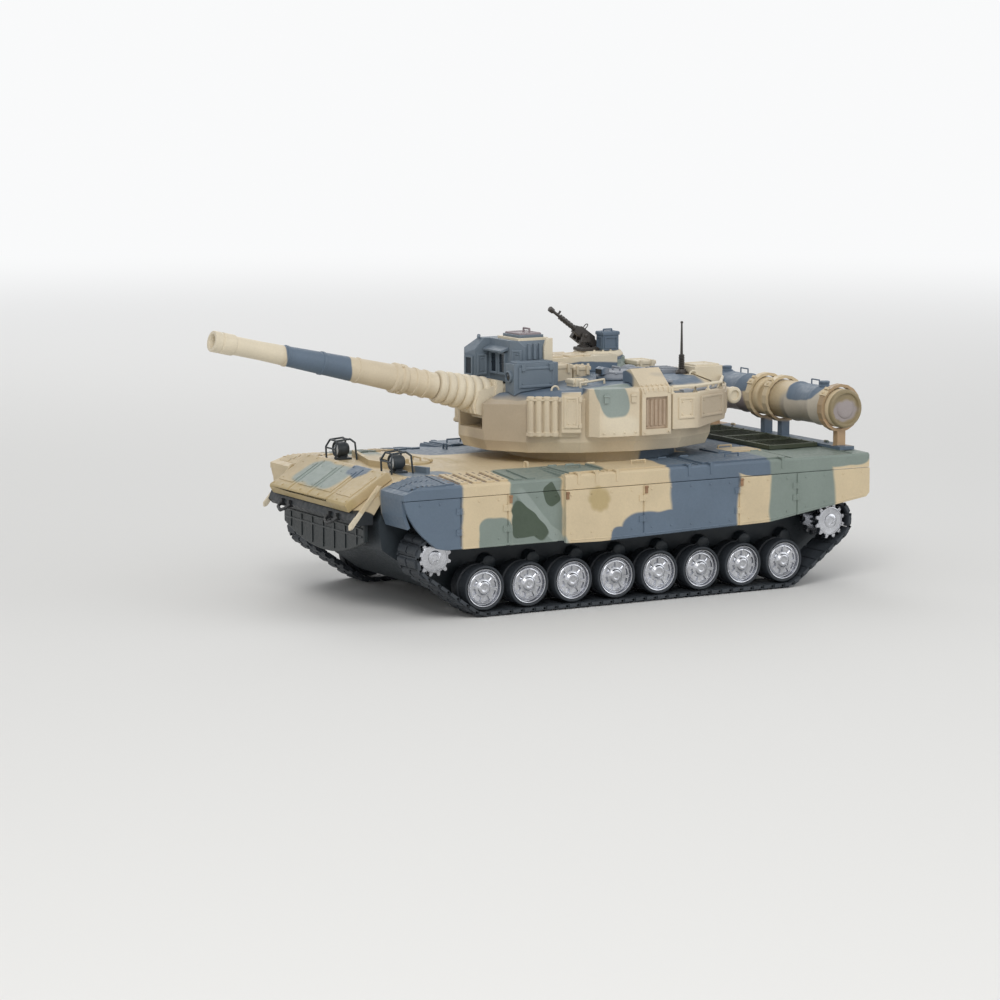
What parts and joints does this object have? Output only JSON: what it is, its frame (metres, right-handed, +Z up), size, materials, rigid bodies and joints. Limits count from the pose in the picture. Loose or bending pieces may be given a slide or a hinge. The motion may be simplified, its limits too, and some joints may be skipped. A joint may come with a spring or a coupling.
{
  "type": "rc tank",
  "caption": "Remote-control toy battle tank with turning turret, raisable gun, side skirts, rear drums and a track drive inside.",
  "frame": {"origin": "on the ground under the centre of the bounding box, which includes the raised gun", "axes": "+X forward along the gun, +Y to the tank's left, +Z up"},
  "size_m": [0.3402, 0.152, 0.1413],
  "materials": {
    "camo_hull": "satin paint on plastic, sand with slate and grey-green camouflage",
    "camo_turret": "satin paint on plastic, sand with slate camouflage",
    "camo_gun": "satin paint on plastic, sand running to slate at the muzzle",
    "camo_drums": "satin paint on plastic, sand with slate camouflage",
    "slate_paint": "satin paint on plastic",
    "dark_hull": "satin dark olive plastic",
    "wheel_chrome": "bright mirror plating on plastic",
    "track_rubber": "matt",
    "black_plastic": "matt black",
    "bare_steel": "bare",
    "battery_jacket": "printed jacket",
    "board_green": "solder mask",
    "lamp_lens": "clear lens over a bright reflector"
  },
  "bodies": {
    "hull": {"track_left": "track_rubber", "track_right": "track_rubber", "lower_hull": "dark_hull", "battery_door": "black_plastic", "battery_door_screw": "bare_steel", "battery_pack": "battery_jacket", "gearbox": "black_plastic", "drive_motor_left": "bare_steel", "drive_motor_right": "bare_steel", "circuit_board": "board_green", "speaker": "black_plastic", "upper_hull": "camo_hull", "side_skirt_left": "camo_hull", "side_skirt_right": "camo_hull", "glacis_armour": "camo_hull", "bow_flap": "track_rubber", "headlamp_left": "lamp_lens", "headlamp_right": "lamp_lens", "engine_grille": "dark_hull", "fuel_drum_left": "camo_drums", "fuel_drum_right": "camo_drums", "drum_cradle": "slate_paint"},
    "drive_left": {"drive_sprocket_left": "wheel_chrome", "drive_shaft_left": "bare_steel"},
    "idler_left": {"idler_left": "wheel_chrome"},
    "road_wheel_1_left": {"road_wheel_1_left": "wheel_chrome"},
    "road_wheel_2_left": {"road_wheel_2_left": "wheel_chrome"},
    "road_wheel_3_left": {"road_wheel_3_left": "wheel_chrome"},
    "road_wheel_4_left": {"road_wheel_4_left": "wheel_chrome"},
    "road_wheel_5_left": {"road_wheel_5_left": "wheel_chrome"},
    "road_wheel_6_left": {"road_wheel_6_left": "wheel_chrome"},
    "road_wheel_7_left": {"road_wheel_7_left": "wheel_chrome"},
    "road_wheel_8_left": {"road_wheel_8_left": "wheel_chrome"},
    "drive_right": {"drive_sprocket_right": "wheel_chrome", "drive_shaft_right": "bare_steel"},
    "idler_right": {"idler_right": "wheel_chrome"},
    "road_wheel_1_right": {"road_wheel_1_right": "wheel_chrome"},
    "road_wheel_2_right": {"road_wheel_2_right": "wheel_chrome"},
    "road_wheel_3_right": {"road_wheel_3_right": "wheel_chrome"},
    "road_wheel_4_right": {"road_wheel_4_right": "wheel_chrome"},
    "road_wheel_5_right": {"road_wheel_5_right": "wheel_chrome"},
    "road_wheel_6_right": {"road_wheel_6_right": "wheel_chrome"},
    "road_wheel_7_right": {"road_wheel_7_right": "wheel_chrome"},
    "road_wheel_8_right": {"road_wheel_8_right": "wheel_chrome"},
    "turret": {"turret_shell": "camo_turret", "turret_retainer": "black_plastic", "launcher_bank_left": "camo_turret", "launcher_bank_right": "camo_turret", "side_stowage_left": "camo_turret", "side_stowage_right": "camo_turret", "rear_basket": "camo_turret", "wading_tube": "camo_turret", "sight_housing": "slate_paint", "gunner_hatch": "slate_paint", "commander_cupola": "camo_turret", "machine_gun": "black_plastic", "aerial": "black_plastic"},
    "gun": {"mantlet": "camo_gun", "gun_barrel": "camo_gun"},
    "switch": {"power_switch": "black_plastic"}
  },
  "joints": [
    {"name": "left_drive", "type": "hinge", "parent": "hull", "child": "drive_left", "pos_m": [-0.14734, 0, 0.0325], "axis": [0, 1, 0], "continuous": true},
    {"name": "left_idler_spin", "type": "hinge", "parent": "hull", "child": "idler_left", "pos_m": [0.08366, 0, 0.031], "axis": [0, 1, 0], "continuous": true},
    {"name": "left_wheel_1_spin", "type": "hinge", "parent": "hull", "child": "road_wheel_1_left", "pos_m": [0.05616, 0, 0.014], "axis": [0, 1, 0], "continuous": true},
    {"name": "left_wheel_2_spin", "type": "hinge", "parent": "hull", "child": "road_wheel_2_left", "pos_m": [0.03116, 0, 0.014], "axis": [0, 1, 0], "continuous": true},
    {"name": "left_wheel_3_spin", "type": "hinge", "parent": "hull", "child": "road_wheel_3_left", "pos_m": [0.00616, 0, 0.014], "axis": [0, 1, 0], "continuous": true},
    {"name": "left_wheel_4_spin", "type": "hinge", "parent": "hull", "child": "road_wheel_4_left", "pos_m": [-0.01884, 0, 0.014], "axis": [0, 1, 0], "continuous": true},
    {"name": "left_wheel_5_spin", "type": "hinge", "parent": "hull", "child": "road_wheel_5_left", "pos_m": [-0.04384, 0, 0.014], "axis": [0, 1, 0], "continuous": true},
    {"name": "left_wheel_6_spin", "type": "hinge", "parent": "hull", "child": "road_wheel_6_left", "pos_m": [-0.06884, 0, 0.014], "axis": [0, 1, 0], "continuous": true},
    {"name": "left_wheel_7_spin", "type": "hinge", "parent": "hull", "child": "road_wheel_7_left", "pos_m": [-0.09384, 0, 0.014], "axis": [0, 1, 0], "continuous": true},
    {"name": "left_wheel_8_spin", "type": "hinge", "parent": "hull", "child": "road_wheel_8_left", "pos_m": [-0.11884, 0, 0.014], "axis": [0, 1, 0], "continuous": true},
    {"name": "right_drive", "type": "hinge", "parent": "hull", "child": "drive_right", "pos_m": [-0.14734, 0, 0.0325], "axis": [0, 1, 0], "continuous": true},
    {"name": "right_idler_spin", "type": "hinge", "parent": "hull", "child": "idler_right", "pos_m": [0.08366, 0, 0.031], "axis": [0, 1, 0], "continuous": true},
    {"name": "right_wheel_1_spin", "type": "hinge", "parent": "hull", "child": "road_wheel_1_right", "pos_m": [0.05616, 0, 0.014], "axis": [0, 1, 0], "continuous": true},
    {"name": "right_wheel_2_spin", "type": "hinge", "parent": "hull", "child": "road_wheel_2_right", "pos_m": [0.03116, 0, 0.014], "axis": [0, 1, 0], "continuous": true},
    {"name": "right_wheel_3_spin", "type": "hinge", "parent": "hull", "child": "road_wheel_3_right", "pos_m": [0.00616, 0, 0.014], "axis": [0, 1, 0], "continuous": true},
    {"name": "right_wheel_4_spin", "type": "hinge", "parent": "hull", "child": "road_wheel_4_right", "pos_m": [-0.01884, 0, 0.014], "axis": [0, 1, 0], "continuous": true},
    {"name": "right_wheel_5_spin", "type": "hinge", "parent": "hull", "child": "road_wheel_5_right", "pos_m": [-0.04384, 0, 0.014], "axis": [0, 1, 0], "continuous": true},
    {"name": "right_wheel_6_spin", "type": "hinge", "parent": "hull", "child": "road_wheel_6_right", "pos_m": [-0.06884, 0, 0.014], "axis": [0, 1, 0], "continuous": true},
    {"name": "right_wheel_7_spin", "type": "hinge", "parent": "hull", "child": "road_wheel_7_right", "pos_m": [-0.09384, 0, 0.014], "axis": [0, 1, 0], "continuous": true},
    {"name": "right_wheel_8_spin", "type": "hinge", "parent": "hull", "child": "road_wheel_8_right", "pos_m": [-0.11884, 0, 0.014], "axis": [0, 1, 0], "continuous": true},
    {"name": "turret_yaw", "type": "hinge", "parent": "hull", "child": "turret", "pos_m": [-0.04384, 0, 0.0735], "axis": [0, 0, 1], "range_deg": [-90, 90]},
    {"name": "gun_elevation", "type": "hinge", "parent": "turret", "child": "gun", "pos_m": [0.00616, 0, 0.0965], "axis": [0, -1, 0], "range_deg": [-13, 7]},
    {"name": "power_switch_slide", "type": "slide", "parent": "hull", "child": "switch", "axis": [1, 0, 0], "range_m": [0, 0.004]}
  ],
  "couplings": [
    {"joint": "left_idler_spin", "follows": "left_drive", "ratio": 1},
    {"joint": "left_wheel_1_spin", "follows": "left_drive", "ratio": 0.8407},
    {"joint": "left_wheel_2_spin", "follows": "left_drive", "ratio": 0.8407},
    {"joint": "left_wheel_3_spin", "follows": "left_drive", "ratio": 0.8407},
    {"joint": "left_wheel_4_spin", "follows": "left_drive", "ratio": 0.8407},
    {"joint": "left_wheel_5_spin", "follows": "left_drive", "ratio": 0.8407},
    {"joint": "left_wheel_6_spin", "follows": "left_drive", "ratio": 0.8407},
    {"joint": "left_wheel_7_spin", "follows": "left_drive", "ratio": 0.8407},
    {"joint": "left_wheel_8_spin", "follows": "left_drive", "ratio": 0.8407},
    {"joint": "right_idler_spin", "follows": "right_drive", "ratio": 1},
    {"joint": "right_wheel_1_spin", "follows": "right_drive", "ratio": 0.8407},
    {"joint": "right_wheel_2_spin", "follows": "right_drive", "ratio": 0.8407},
    {"joint": "right_wheel_3_spin", "follows": "right_drive", "ratio": 0.8407},
    {"joint": "right_wheel_4_spin", "follows": "right_drive", "ratio": 0.8407},
    {"joint": "right_wheel_5_spin", "follows": "right_drive", "ratio": 0.8407},
    {"joint": "right_wheel_6_spin", "follows": "right_drive", "ratio": 0.8407},
    {"joint": "right_wheel_7_spin", "follows": "right_drive", "ratio": 0.8407},
    {"joint": "right_wheel_8_spin", "follows": "right_drive", "ratio": 0.8407}
  ]
}
